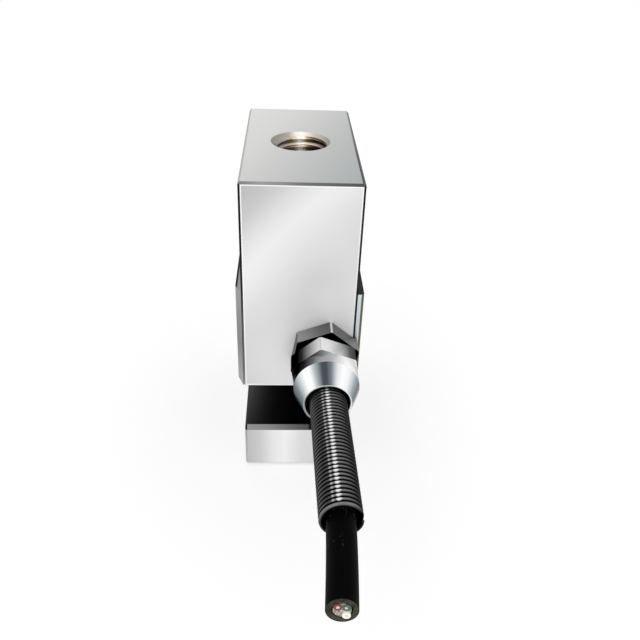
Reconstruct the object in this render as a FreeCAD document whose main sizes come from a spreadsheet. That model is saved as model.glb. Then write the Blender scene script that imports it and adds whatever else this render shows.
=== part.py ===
import FreeCAD, Part

import math
import os

import Sketcher

Vector = FreeCAD.Vector
Rotation = FreeCAD.Rotation
Placement = FreeCAD.Placement

# An S type load cell: one S shaped block of steel with a threaded hole in each arm, gauges on a thin
# web in its middle, two covers over them, and a cable that leaves the front face through a gland.
# X runs through the block's thickness, -Y is the cable side and +Z is up. The origin is the middle of
# the bottom face, on the load axis.

doc = FreeCAD.newDocument("load_cell")
sheet = doc.addObject("Spreadsheet::Sheet", "Sizes")
size = {}


def cell(alias, value, note):
    """One driving size: its note in column A, its value in column B under its alias."""
    row = len(size) + 1
    sheet.set(f"A{row}", note)
    sheet.set(f"B{row}", str(value))
    sheet.setAlias(f"B{row}", alias)
    size[alias] = value


# the block
cell("block_width", 25.4, "thickness of the block along X")
cell("block_length", 50.8, "length of the block along Y")
cell("block_height", 76.2, "height of the block along Z")
cell("arm_height", 12.7, "height of the upper and lower arm")
cell("slot_height", 12.7, "height of each slot")
cell("leg_thickness", 12.7, "leg that joins an arm to the middle")
cell("slot_fillet", 3.0, "fillet at the closed end of a slot")
cell("edge_break", 0.5, "chamfer on the outer edges")
cell("lip_break", 1.0, "chamfer on the free edge of each arm, at the slot's mouth")
cell("thread_bore", 10.3, "wall of the M12 thread's core")
cell("sink_diameter", 13.5, "mouth of the thread's countersink")

# the gauge pockets and their covers
cell("web_thickness", 3.0, "shear web between the pockets")
cell("pocket_diameter", 20.0, "gauge pocket in each side")
cell("seal_diameter", 23.0, "recess for the cover seal")
cell("seal_depth", 0.8, "depth of the seal's recess")
cell("crossover_diameter", 3.2, "hole for the wires through the web")
cell("crossover_back", 6.4, "that hole behind the load axis")
cell("cover_thickness", 1.4, "side cover")
cell("cover_back", 21.6, "cover's back edge from the load axis")
cell("cover_left_front", 25.0, "left cover's front edge from the load axis")
cell("cover_right_front", 25.0, "right cover's front edge from the load axis")
cell("cover_slant", 3.4, "length of the left cover's slanted front edge")
cell("cover_bevel", 0.6, "bevel round the right cover")

# the gland
cell("gland_across", 5.8, "gland axis from the load axis along X")
cell("gland_drop", 2.1, "gland axis below the block's middle")
cell("gland_turn", 20.6, "degrees that the gland's hexagon is turned")
cell("hex_flats", 14.0, "spanner size of the gland and its nut")
cell("corner_radius", 8.0, "turned radius over the hexagon's corners")
cell("hex_crown", 0.45, "crown chamfer on the hexagons' corners")
cell("stub_diameter", 9.0, "thread of the gland, both ends")
cell("stub_depth", 7.5, "gland's thread in the block")
cell("gland_hex", 3.4, "length of the gland's hexagon")
cell("neck_end", 11.0, "gland's outer thread ends this far out")
cell("gland_bore", 6.4, "cable's way through the gland")
cell("socket_diameter", 7.6, "socket for the grommet")
cell("socket_start", 5.6, "socket starts this far out")
cell("thread_slack", 0.1, "clearance between two threads")
cell("thread_runout", 0.3, "room past the end of the gland's thread")
cell("ring_section", 1.1, "square section of the gland's seal ring")
cell("wire_way", 6.4, "bore from the gland to the pocket")
cell("wire_way_depth", 19.0, "depth of that bore from the front face")

# the nut, the grommet and the washer
cell("nut_turn", 39.7, "degrees that the nut's hexagon is turned")
cell("nut_start", 5.9, "nut starts this far out")
cell("nut_hex_end", 10.5, "nut's hexagon ends this far out")
cell("nut_collar_end", 13.4, "nut's round collar ends this far out")
cell("nut_end", 18.8, "nut's mouth this far out")
cell("nut_lip", 5.15, "outer radius of the nut's mouth")
cell("nut_mouth", 4.55, "radius of the nut's mouth")
cell("nut_chamber", 5.25, "radius of the room for the flared coils")
cell("chamber_end", 14.9, "room for the flared coils ends this far out")
cell("mouth_rounding", 0.45, "rounding of the nut's mouth")
cell("grommet_end", 12.0, "grommet ends this far out")
cell("grommet_taper", 0.4, "grommet's outer end is smaller by this at the radius")
cell("washer_thickness", 0.8, "washer on the grommet")
cell("washer_radius", 4.9, "outer radius of that washer")
cell("washer_bore", 3.0, "radius of the washer's hole")

# the spring over the cable
cell("spring_radius", 3.9, "outer radius of the spring")
cell("wire_diameter", 0.8, "spring wire")
cell("coil_pitch", 0.93, "from one coil to the next")
cell("coil_count", 39, "coils in the spring")
cell("flare_coils", 1.5, "coils in the flared end")
cell("flare_radius", 4.95, "outer radius of the flared end")
cell("spring_turn", 1.4, "degrees that the spring leans towards +X")

# the cable
cell("cable_diameter", 5.2, "jacket of the cable")
cell("jacket_bore", 3.4, "inside of the jacket")
cell("wire_insulation", 1.34, "insulated conductor")
cell("wire_ring", 0.97, "conductors' centres from the cable's centre")
cell("wire_reach", 21.5, "conductors run on this far past the jacket's inner end")
cell("wire_stagger", 2.2, "outer pair of conductors runs this much further")

# what is bonded in the pockets
cell("gauge_length", 6.0, "strain gauge along its grid")
cell("gauge_width", 4.0, "strain gauge across its grid")
cell("gauge_thickness", 0.2, "gauge with its bond line")
cell("gauge_forward", 2.7, "gauge's centre in front of the load axis")
cell("gauge_apart", 3.6, "gauge's centre above or below the middle")
cell("gauge_tilt", 45.0, "degrees that a gauge is turned, along the shear")
cell("board_length", 8.0, "terminal board along Z")
cell("board_width", 5.0, "terminal board along Y")
cell("board_thickness", 0.6, "terminal board")
cell("board_height", 1.6, "board's face above the web")
cell("board_forward", 2.0, "board's centre in front of the wires that cross the web")
cell("pillar_size", 1.0, "square pillars that carry a board")
cell("pillar_apart", 3.2, "pillar's centre above or below the middle")
cell("crossing_size", 0.4, "flat wire that crosses the web")
cell("crossing_pitch", 0.64, "from one crossing wire to the next")
cell("gauge_lead", 0.3, "lead from a gauge to its board")
cell("lead_apart", 3.0, "pair of leads above or below the middle")
cell("lead_rise", 1.75, "leads turn up this far in front of the board's centre")
cell("post_size", 0.7, "solder post on the board")
cell("solder_gap", 0.05, "from a wire's end to its post")
cell("chip_height", 0.55, "trim resistor above the board")
cell("chip_width", 1.25, "trim resistor along Y")
cell("chip_length", 2.0, "trim resistor along Z")
cell("chip_apart", 1.25, "trim resistor in front of or behind the board's centre")
cell("chip_up", 2.4, "trim resistor above the middle")
cell("coat_depth", 1.4, "soft coat that is poured over the gauges")
cell("coat_slack", 0.05, "clearance left by the coat's shrinkage")

doc.recompute()


def span(**parts):
    """A length made of sizes, each times its factor: its value and the expression that says it."""
    value = sum(factor * size[name] for name, factor in parts.items())
    text = " + ".join(f"({factor} * Sizes.{name})" for name, factor in parts.items())
    return value, text


def tie(obj, path, length):
    """Binds one property of an object to a length."""
    obj.setExpression(path, length[1])


ZERO = (0.0, "0 mm")
front = span(block_length=-0.5)
back = span(block_length=0.5)
side = span(block_width=0.5)
middle = span(block_height=0.5)
gland_x = span(gland_across=1)
gland_z = span(block_height=0.5, gland_drop=-1)


# ---------------------------------------------------------------- sketches and features

def plane(body, role):
    """One of the body's own origin planes."""
    return next(o for o in body.Origin.OriginFeatures if o.Role == role)


def new_sketch(body, name, role, offset=ZERO):
    """An empty sketch on an origin plane of the body, moved along the plane's normal."""
    sketch = body.newObject("Sketcher::SketchObject", name)
    sketch.AttachmentSupport = [(plane(body, role), "")]
    sketch.MapMode = "FlatFace"
    sketch.AttachmentOffset = Placement(Vector(0, 0, offset[0]), Rotation())
    tie(sketch, "AttachmentOffset.Base.z", offset)
    return sketch


def pin(sketch, geometry, point, across, up):
    """Places one point of a sketch by its two distances from the sketch's origin."""
    for kind, length in (("DistanceX", across), ("DistanceY", up)):
        index = sketch.addConstraint(Sketcher.Constraint(kind, -1, 1, geometry, point, length[0]))
        sketch.setExpression(f"Constraints[{index}]", length[1])


def outline(body, name, role, corners, offset=ZERO):
    """A closed sketch through the corners, each a pair of lengths."""
    sketch = new_sketch(body, name, role, offset)
    ends = corners[1:] + corners[:1]
    for (x0, y0), (x1, y1) in zip(corners, ends):
        start = Vector(x0[0], y0[0], 0)
        end = Vector(x1[0], y1[0], 0)
        sketch.addGeometry(Part.LineSegment(start, end))
    count = len(corners)
    for line in range(count):
        sketch.addConstraint(Sketcher.Constraint("Coincident", line, 2, (line + 1) % count, 1))
        pin(sketch, line, 1, *corners[line])
    return sketch


def ring(body, name, role, across, up, diameter, offset=ZERO):
    """A sketch of one circle."""
    sketch = new_sketch(body, name, role, offset)
    centre = Vector(across[0], up[0], 0)
    sketch.addGeometry(Part.Circle(centre, Vector(0, 0, 1), diameter[0] / 2))
    pin(sketch, 0, 3, across, up)
    index = sketch.addConstraint(Sketcher.Constraint("Diameter", 0, diameter[0]))
    sketch.setExpression(f"Constraints[{index}]", diameter[1])
    return sketch


def feature(body, kind, name, profile, **settings):
    """A PartDesign feature on a profile, with its settings; a length is bound, the rest is set."""
    made = body.newObject(f"PartDesign::{kind}", name)
    made.Profile = profile
    for key, value in settings.items():
        if isinstance(value, tuple) and isinstance(value[1], str) and key in ("Length", "Length2"):
            tie(made, key, value)
        else:
            setattr(made, key, value)
    doc.recompute()
    return made


def turned(name, corners):
    """A body turned about its own Y axis, from a half section of (radius, distance) corners."""
    body = doc.addObject("PartDesign::Body", name)
    section = outline(body, f"{name}_section", "XY_Plane", corners)
    turn = body.newObject("PartDesign::Revolution", f"{name}_turn")
    turn.Profile = section
    turn.ReferenceAxis = (section, ["V_Axis"])
    turn.Angle = 360.0
    doc.recompute()
    return body


def on_gland_axis(obj, start=front):
    """Puts a piece on the gland's axis, at the front face or at another distance along Y."""
    tie(obj, "Placement.Base.x", gland_x)
    tie(obj, "Placement.Base.y", start)
    tie(obj, "Placement.Base.z", gland_z)
    return obj


def edges_where(shape, test):
    """Names of the edges of a shape that pass a test on the edge."""
    return [f"Edge{i + 1}" for i, edge in enumerate(shape.Edges) if test(edge)]


def near(a, b):
    return abs(a - b) < 1e-4


# ---------------------------------------------------------------- the S block

block = doc.addObject("PartDesign::Body", "s_body")
slot_low = span(arm_height=1)
slot_low_top = span(arm_height=1, slot_height=1)
slot_high = span(block_height=1, arm_height=-1)
slot_high_floor = span(block_height=1, arm_height=-1, slot_height=-1)
leg_front = span(block_length=-0.5, leg_thickness=1)
leg_back = span(block_length=0.5, leg_thickness=-1)
top = span(block_height=1)
profile = outline(block, "s_profile", "YZ_Plane", [
    (front, ZERO), (back, ZERO), (back, slot_high_floor), (leg_front, slot_high_floor),
    (leg_front, slot_high), (back, slot_high), (back, top), (front, top),
    (front, slot_low_top), (leg_back, slot_low_top), (leg_back, slot_low), (front, slot_low),
])
pad = feature(block, "Pad", "s_pad", profile, Length=span(block_width=1), Midplane=True)


def across_block(edge):
    return near(edge.BoundBox.XLength, size["block_width"])


def inside_corner(edge):
    """An edge across the block at the closed end of a slot."""
    box = edge.BoundBox
    closed = near(box.YMin, leg_front[0]) or near(box.YMin, leg_back[0])
    return across_block(edge) and closed


slot_ends = block.newObject("PartDesign::Fillet", "slot_ends")
slot_ends.Base = (pad, edges_where(pad.Shape, inside_corner))
slot_ends.Radius = size["slot_fillet"]
tie(slot_ends, "Radius", span(slot_fillet=1))
doc.recompute()


def arm_lip(edge):
    """The free edge of an arm, across the block at the mouth of its slot."""
    box = edge.BoundBox
    lower = near(box.YMin, front[0]) and near(box.ZMin, slot_low[0])
    upper = near(box.YMin, back[0]) and near(box.ZMin, slot_high[0])
    return across_block(edge) and (lower or upper)


lips = block.newObject("PartDesign::Chamfer", "arm_lips")
lips.Base = (slot_ends, edges_where(slot_ends.Shape, arm_lip))
lips.Size = size["lip_break"]
tie(lips, "Size", span(lip_break=1))
doc.recompute()


def outer_edge(edge):
    """An edge round either side face, or across the block on its front or back."""
    box = edge.BoundBox
    on_side = near(box.XLength, 0) and near(abs(box.XMin), side[0])
    on_end = across_block(edge) and near(abs(box.YMin), back[0])
    on_lip = near(box.ZMin, slot_low[0] - size["lip_break"])
    on_lip = on_lip or near(box.ZMin, slot_high[0] + size["lip_break"])
    return on_side or on_end and not on_lip


broken = block.newObject("PartDesign::Chamfer", "broken_edges")
broken.Base = (lips, edges_where(lips.Shape, outer_edge))
broken.Size = size["edge_break"]
tie(broken, "Size", span(edge_break=1))
doc.recompute()

# a core bore through each arm, for the M12 thread
for name, floor in (("lower", ZERO), ("upper", slot_high)):
    core = ring(block, f"{name}_thread_core", "XY_Plane", ZERO, ZERO, span(thread_bore=1), floor)
    cored = feature(block, "Pocket", f"{name}_thread", core, Length=slot_low, Reversed=True)


def thread_mouth(edge):
    """The rim of a thread's bore in the top or the bottom face."""
    if not isinstance(edge.Curve, Part.Circle):
        return False
    level = edge.Curve.Center.z
    outside = near(level, 0) or near(level, size["block_height"])
    return outside and near(edge.Curve.Radius, size["thread_bore"] / 2)


sink = span(sink_diameter=0.5, thread_bore=-0.5)
mouths = block.newObject("PartDesign::Chamfer", "thread_sinks")
mouths.Base = (cored, edges_where(cored.Shape, thread_mouth))
mouths.Size = sink[0]
tie(mouths, "Size", sink)
doc.recompute()

# a blind pocket with a seal recess in each side; what is left between the pockets is the web
for name, way in (("left", -1), ("right", 1)):
    web_face = span(web_thickness=way * 0.5)
    seal_floor = span(block_width=way * 0.5, seal_depth=-way)
    pocket = ring(block, f"{name}_pocket_ring", "YZ_Plane", ZERO, middle,
                  span(pocket_diameter=1), web_face)
    feature(block, "Pocket", f"{name}_pocket", pocket, Length=side, Reversed=way > 0)
    recess = ring(block, f"{name}_seal_ring", "YZ_Plane", ZERO, middle,
                  span(seal_diameter=1), seal_floor)
    feature(block, "Pocket", f"{name}_seal_recess", recess, Length=side, Reversed=way > 0)

crossover = ring(block, "crossover_ring", "YZ_Plane", span(crossover_back=1), middle,
                 span(crossover_diameter=1))
feature(block, "Pocket", "crossover", crossover, Length=span(block_width=0.5), Midplane=True)

# the gland's threaded bore in the front face, its seal seat and the wires' way into the pocket
seat_diameter = span(stub_diameter=1, ring_section=2)
for name, diameter, depth in (
    ("gland_thread", span(stub_diameter=1, thread_slack=2), span(stub_depth=1, thread_runout=1)),
    ("seal_seat", seat_diameter, span(ring_section=1)),
    ("wire_way", span(wire_way=1), span(wire_way_depth=1)),
):
    circle = ring(block, f"{name}_ring", "XZ_Plane", gland_x, gland_z, diameter, back)
    feature(block, "Pocket", name, circle, Length=depth)


# ---------------------------------------------------------------- covers and their seals

def cover(name, way, front_edge, slant):
    """A flat plate on one side of the middle; its front edge slants back by the given length."""
    body = doc.addObject("PartDesign::Body", name)
    inner = span(block_width=way * 0.5)
    outer = span(block_width=way * 0.5, cover_thickness=way)
    slanted = span(**{front_edge: -1, slant: 1})
    rear = span(cover_back=1)
    rear_outer = span(cover_back=1, cover_bevel=-1)
    if way > 0:
        shoulder = span(block_width=0.5, cover_thickness=1, cover_bevel=-1)
        start = [(inner, span(**{front_edge: -1})), (shoulder, span(**{front_edge: -1}))]
    else:
        start = [(inner, span(**{front_edge: -1}))]
    rear_shoulder = span(block_width=way * 0.5, cover_thickness=way, cover_bevel=-way)
    section = start + [(outer, slanted), (outer, rear_outer), (rear_shoulder, rear), (inner, rear)]
    sketch = outline(body, f"{name}_section", "XY_Plane", section, slot_low_top)
    plate_height = span(block_height=1, arm_height=-2, slot_height=-2)
    feature(body, "Pad", f"{name}_plate", sketch, Length=plate_height)
    return body


cover("cover_left", -1, "cover_left_front", "cover_slant")
cover("cover_right", 1, "cover_right_front", "cover_bevel")


def cylinder(name, radius, length, base):
    """A round bar along X from a base point; radius, length and the base's places are lengths."""
    bar = doc.addObject("Part::Cylinder", name)
    bar.Placement = Placement(Vector(), Rotation(Vector(0, 1, 0), 90))
    tie(bar, "Radius", radius)
    tie(bar, "Height", length)
    for letter, place in zip("xyz", base):
        tie(bar, f"Placement.Base.{letter}", place)
    return bar


def cut(name, base, tool):
    made = doc.addObject("Part::Cut", name)
    made.Base = base
    made.Tool = tool
    return made


def group(name, pieces):
    """Several separate solids in one sub-part, or several tools in one."""
    made = doc.addObject("Part::Compound", name)
    made.Links = pieces
    return made


for name, start in (
    ("left", span(block_width=-0.5)),
    ("right", span(block_width=0.5, seal_depth=-1)),
):
    place = (start, ZERO, middle)
    outer = cylinder(f"seal_outer_{name}", span(seal_diameter=0.5), span(seal_depth=1), place)
    inner = cylinder(f"seal_inner_{name}", span(pocket_diameter=0.5), span(seal_depth=1), place)
    cut(f"cover_seal_{name}", outer, inner)


# ---------------------------------------------------------------- gland body and cap nut

def hex_bar(name, start, length, degrees):
    """Hexagonal stock along -Y on the gland's axis, turned so that a corner lies at the angle."""
    bar = doc.addObject("Part::Prism", name)
    bar.Polygon = 6
    turn = Rotation(Vector(1, 0, 0), 90) * Rotation(Vector(0, 0, 1), degrees)
    bar.Placement = Placement(Vector(), turn)
    tie(bar, "Circumradius", span(hex_flats=1 / math.sqrt(3)))
    tie(bar, "Height", length)
    return on_gland_axis(bar, start)


def machined(name, blank, stock):
    """A turned blank made from hexagonal stock: what both have in common."""
    made = doc.addObject("Part::Common", name)
    made.Base = on_gland_axis(blank)
    made.Tool = stock
    return made


crown = span(corner_radius=1, hex_crown=-1)
stub = span(stub_diameter=0.5)
bore = span(gland_bore=0.5)
socket = span(socket_diameter=0.5)
corner = span(corner_radius=1)
gland_blank = turned("gland_blank", [
    (bore, span(stub_depth=1)), (stub, span(stub_depth=1)), (stub, ZERO),
    (corner, ZERO), (corner, span(gland_hex=-1, hex_crown=0.5)), (crown, span(gland_hex=-1)),
    (stub, span(gland_hex=-1)), (stub, span(neck_end=-1)), (socket, span(neck_end=-1)),
    (socket, span(socket_start=-1)), (bore, span(socket_start=-1)),
])
gland_stock = hex_bar("gland_stock", leg_front, span(block_length=1), size["gland_turn"])
machined("gland_body", gland_blank, gland_stock)

nut_thread = span(stub_diameter=0.5, thread_slack=1)
chamber = span(nut_chamber=1)
collar = span(hex_flats=0.5)
mouth = span(nut_mouth=1)
nut_blank = turned("nut_blank", [
    (nut_thread, span(nut_start=-1)), (crown, span(nut_start=-1)),
    (corner, span(nut_start=-1, hex_crown=-0.5)), (corner, span(nut_hex_end=-1, hex_crown=0.5)),
    (crown, span(nut_hex_end=-1)), (collar, span(nut_hex_end=-1)),
    (collar, span(nut_collar_end=-1)), (span(nut_lip=1), span(nut_end=-1, mouth_rounding=0.5)),
    (span(nut_lip=0.5, nut_mouth=0.5), span(nut_end=-1)),
    (mouth, span(nut_end=-1, mouth_rounding=1)), (mouth, span(chamber_end=-1)),
    (chamber, span(chamber_end=-1)),
    (chamber, span(neck_end=-1, washer_thickness=-1)), (nut_thread, span(neck_end=-1)),
])
nut_stock = hex_bar("nut_stock", front, span(block_length=1), size["nut_turn"])
machined("cap_nut", nut_blank, nut_stock)

washer_inner = span(washer_bore=1)
grommet_face = span(grommet_end=-1)
washer = turned("slip_washer", [
    (washer_inner, grommet_face), (span(washer_radius=1), grommet_face),
    (span(washer_radius=1), span(grommet_end=-1, washer_thickness=-1)),
    (washer_inner, span(grommet_end=-1, washer_thickness=-1)),
])
on_gland_axis(washer)

ring_inner = span(stub_diameter=0.5, thread_slack=0.5)
ring_outer = span(stub_diameter=0.5, ring_section=1, thread_slack=-0.5)
seal_ring = turned("gland_seal_ring", [
    (ring_inner, ZERO), (ring_outer, ZERO), (ring_outer, span(ring_section=1)),
    (ring_inner, span(ring_section=1)),
])
on_gland_axis(seal_ring)


# ---------------------------------------------------------------- the cable and what is in it

# the cable is straight in the gland and the spring, and droops where the spring lets it go; its
# points are chosen by hand, from the gland's axis at the front face
ROUTE = [
    Vector(gland_x[0], front[0], gland_z[0]) + step
    for step in (Vector(-0.1, 5.9, 0.0), Vector(0.95, -50.4, -0.1), Vector(0.7, -63.4, -1.7))
]
BEND_SHARE = 0.45


def bent_path(points, start):
    """Straight runs joined by tangent arcs, each as large as its two runs allow."""
    edges = []
    for before, here, after in zip(points, points[1:], points[2:]):
        arrive = (here - before).normalize()
        leave = (after - here).normalize()
        turn = arrive.getAngle(leave)
        reach = BEND_SHARE * min((here - before).Length, (after - here).Length)
        radius = reach / math.tan(turn / 2)
        first = here - arrive * reach
        last = here + leave * reach
        inward = (leave - arrive).normalize()
        crown_point = here + inward * (radius / math.cos(turn / 2) - radius)
        edges.append(Part.LineSegment(start, first).toShape())
        edges.append(Part.Arc(first, crown_point, last).toShape())
        print(f"bend of {math.degrees(turn):.1f} degrees, radius {radius:.0f} mm")
        start = last
    edges.append(Part.LineSegment(start, points[-1]).toShape())
    return Part.Wire(edges)


def rod(points, diameter, ahead=0.0):
    """A round solid rod along a path that starts straight, a given length ahead of its points."""
    onward = (points[1] - points[0]).normalize()
    start = points[0] - onward * ahead
    path = bent_path(points, start)
    circle = Part.Circle(start, onward, diameter / 2)
    swept = path.makePipeShell([Part.Wire(circle.toShape())], True, False)
    expected = math.pi * diameter ** 2 / 4 * path.Length
    if abs(swept.Volume - expected) > 0.01 * expected:
        raise ValueError(f"a rod of {diameter} mm has the wrong volume")
    return swept


def solid_part(name, shape):
    """A sub-part whose shape comes from Part's own functions."""
    made = doc.addObject("Part::Feature", name)
    made.Shape = shape
    made.Placement = Placement()
    return made


jacket_rod = rod(ROUTE, size["cable_diameter"])
solid_part("cable_jacket", jacket_rod.cut(rod(ROUTE, size["jacket_bore"])))

# four conductors lie square to each other; they run on into the right pocket, where the outer
# pair runs further, so that each one meets a solder post of its own
side_step = size["wire_ring"] / math.sqrt(2)
wire_ends = []
for colour, across, up in (("red", -1, 1), ("green", 1, 1), ("white", 1, -1), ("black", -1, -1)):
    reach = size["wire_reach"] + (size["wire_stagger"] if across > 0 else 0.0)
    points = [point + Vector(across * side_step, 0, up * side_step) for point in ROUTE]
    solid_part(f"conductor_{colour}", rod(points, size["wire_insulation"], reach))
    wire_ends.append(points[0] - (points[1] - points[0]).normalize() * reach)

# the rubber grommet grips the jacket between the gland's socket and the washer
grommet_blank = turned("grommet_blank", [
    (ZERO, span(socket_start=-1)), (socket, span(socket_start=-1)), (socket, span(neck_end=-1)),
    (span(socket_diameter=0.5, grommet_taper=-1), grommet_face), (ZERO, grommet_face),
])
on_gland_axis(grommet_blank)
grip = solid_part("grommet_grip", jacket_rod)
cut("gland_grommet", grommet_blank, grip)


# ---------------------------------------------------------------- the spring

STEPS_PER_COIL = 10
WIRE_SIDES = 6


def coil_sections():
    """Sections of the wire, one at each step round the helix about the local -Y axis."""
    wire = size["wire_diameter"] / 2
    lift = size["flare_radius"] * math.sin(math.radians(size["spring_turn"]))
    outer = size["spring_radius"] - wire
    flare = size["flare_radius"] - wire
    sections = []
    for step in range(int(size["coil_count"] * STEPS_PER_COIL) + 1):
        turns = step / STEPS_PER_COIL
        angle = 2 * math.pi * turns
        opened = max(0.0, 1 - turns / size["flare_coils"])
        radius = outer + (flare - outer) * opened
        along = wire + lift + size["coil_pitch"] * turns
        corners = []
        for side_index in range(WIRE_SIDES):
            around = 2 * math.pi * side_index / WIRE_SIDES
            reach = radius + wire * math.cos(around)
            level = along + wire * math.sin(around)
            corners.append(Vector(reach * math.cos(angle), -level, reach * math.sin(angle)))
        sections.append(Part.makePolygon(corners + corners[:1]))
    return sections


coil = Part.makeLoft(coil_sections(), True, True)
spring = solid_part("strain_relief_spring", coil)
seat = Vector(gland_x[0], front[0] - size["grommet_end"] - size["washer_thickness"], gland_z[0])
spring.Placement = Placement(seat, Rotation(Vector(0, 0, 1), size["spring_turn"]))


# ---------------------------------------------------------------- what is bonded in the pockets

inner_pieces = {"left": [], "right": []}


def box(name, lengths, centre, tilt=0.0):
    """A box with its middle at the centre, turned about X by the tilt in degrees."""
    made = doc.addObject("Part::Box", name)
    for key, length in zip(("Length", "Width", "Height"), lengths):
        tie(made, key, length)
    half = Vector(lengths[0][0] / 2, lengths[1][0] / 2, lengths[2][0] / 2)
    turn = Rotation(Vector(1, 0, 0), tilt)
    middle_point = Vector(centre[0][0], centre[1][0], centre[2][0])
    made.Placement = Placement(middle_point - turn.multVec(half), turn)
    return made


for name, way in (("left", -1), ("right", 1)):
    face = span(web_thickness=way * 0.5, gauge_thickness=way * 0.5)
    for place, up in (("upper", 1), ("lower", -1)):
        gauge = box(f"strain_gauge_{name}_{place}",
                    (span(gauge_thickness=1), span(gauge_width=1), span(gauge_length=1)),
                    (face, span(gauge_forward=-1), span(block_height=0.5, gauge_apart=up)),
                    up * size["gauge_tilt"])
        inner_pieces[name].append(gauge)

# a terminal board on two pillars over each web
board_y = span(crossover_back=1, board_forward=-1)
for name, way in (("left", -1), ("right", 1)):
    level = span(web_thickness=way * 0.5, board_height=way, board_thickness=way * 0.5)
    box(f"terminal_board_{name}",
        (span(board_thickness=1), span(board_width=1), span(board_length=1)),
        (level, board_y, middle))
    pillars = []
    for place, up in (("top", 1), ("bottom", -1)):
        pillars.append(box(f"pillar_{name}_{place}",
                           (span(board_height=1), span(pillar_size=1), span(pillar_size=1)),
                           (span(web_thickness=way * 0.5, board_height=way * 0.5), board_y,
                            span(block_height=0.5, pillar_apart=up))))
    inner_pieces[name].append(group(f"board_pillars_{name}", pillars))

# three flat wires cross the web from one board to the other
crossing = []
for place, up in (("top", 1), ("middle", 0), ("bottom", -1)):
    crossing.append(box(f"crossing_{place}",
                        (span(web_thickness=1, board_height=2), span(crossing_size=1),
                         span(crossing_size=1)),
                        (ZERO, span(crossover_back=1), span(block_height=0.5, crossing_pitch=up))))
group("crossover_leads", crossing)

# two flat leads from each gauge lie on it and turn up to the underside of the board
for name, way in (("left", -1), ("right", 1)):
    thin = size["gauge_thickness"] / 2
    flat = size["web_thickness"] / 2 + size["gauge_thickness"]
    under_board = size["web_thickness"] / 2 + size["board_height"]
    rise = board_y[0] - size["lead_rise"]
    start = -size["gauge_lead"]
    bent = [(flat, start), (flat, rise), (under_board, rise), (under_board, rise - thin),
            (flat + thin, rise - thin), (flat + thin, start)]
    leads = []
    for up in (1, -1):
        for apart in (-1, 1):
            level = middle[0] + up * (size["lead_apart"] + apart * size["gauge_lead"])
            corners = [Vector(way * x, y, level) for x, y in bent + bent[:1]]
            strip = Part.Face(Part.makePolygon(corners)).extrude(Vector(0, 0, size["gauge_lead"]))
            leads.append(strip)
    inner_pieces[name].append(solid_part(f"gauge_leads_{name}", Part.makeCompound(leads)))

# solder posts stand on the right board, one at the end of each conductor
board_top = span(web_thickness=0.5, board_height=1, board_thickness=1)
posts = []
for tip in wire_ends:
    post_height = tip.x + size["post_size"] / 2 - board_top[0]
    post = Part.makeBox(post_height, size["post_size"], size["post_size"])
    post.translate(Vector(board_top[0], tip.y + size["solder_gap"], tip.z - size["post_size"] / 2))
    posts.append(post)
solid_part("solder_posts", Part.makeCompound(posts))

chip_level = span(web_thickness=0.5, board_height=1, board_thickness=1, chip_height=0.5)
for name, way in (("zero", -1), ("span", 1)):
    box(f"trim_resistor_{name}",
        (span(chip_height=1), span(chip_width=1), span(chip_length=1)),
        (chip_level, span(crossover_back=1, board_forward=-1, chip_apart=way),
         span(block_height=0.5, chip_up=1)))

# a soft coat lies on each web, round the gauges and under the board, clear of the crossing hole
coat_radius = span(pocket_diameter=0.5, coat_slack=-1)
clear_radius = span(crossover_diameter=0.5)
for name, start in (("left", span(web_thickness=-0.5, coat_depth=-1)),
                    ("right", span(web_thickness=0.5))):
    coat = cylinder(f"coat_fill_{name}", coat_radius, span(coat_depth=1), (start, ZERO, middle))
    clear = cylinder(f"coat_clear_{name}", clear_radius, span(coat_depth=1),
                     (start, span(crossover_back=1), middle))
    coat = cut(f"coat_round_hole_{name}", coat, clear)
    for number, piece in enumerate(inner_pieces[name][:-1]):
        coat = cut(f"coat_{name}_round_{number}", coat, piece)
    cut(f"potting_{name}", coat, inner_pieces[name][-1])

doc.recompute()


# ---------------------------------------------------------------- check and write

NODES = [
    "s_body", "cover_left", "cover_right", "cover_seal_left", "cover_seal_right",
    "gland_body", "gland_seal_ring", "gland_grommet", "slip_washer", "cap_nut",
    "strain_relief_spring", "cable_jacket",
    "conductor_red", "conductor_green", "conductor_white", "conductor_black",
    "strain_gauge_left_upper", "strain_gauge_left_lower",
    "strain_gauge_right_upper", "strain_gauge_right_lower",
    "terminal_board_left", "terminal_board_right", "board_pillars_left", "board_pillars_right",
    "gauge_leads_left", "gauge_leads_right", "crossover_leads", "solder_posts",
    "trim_resistor_zero", "trim_resistor_span", "potting_left", "potting_right",
]

for obj in doc.Objects:
    if "Invalid" in obj.State or "Error" in obj.State:
        raise ValueError(f"{obj.Label} did not recompute: {obj.State}")

for label in NODES:
    shape = doc.getObjectsByLabel(label)[0].Shape
    if shape.isNull() or not shape.isValid() or not shape.Solids:
        raise ValueError(f"{label} is not a valid solid")

os.makedirs("parts", exist_ok=True)
for label in NODES:
    shape = doc.getObjectsByLabel(label)[0].Shape
    shape.exportStep(f"parts/{label}.step")
    print(f"{label}: {len(shape.Solids)} solids, {shape.Volume:.1f} mm3")
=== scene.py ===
import math

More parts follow.
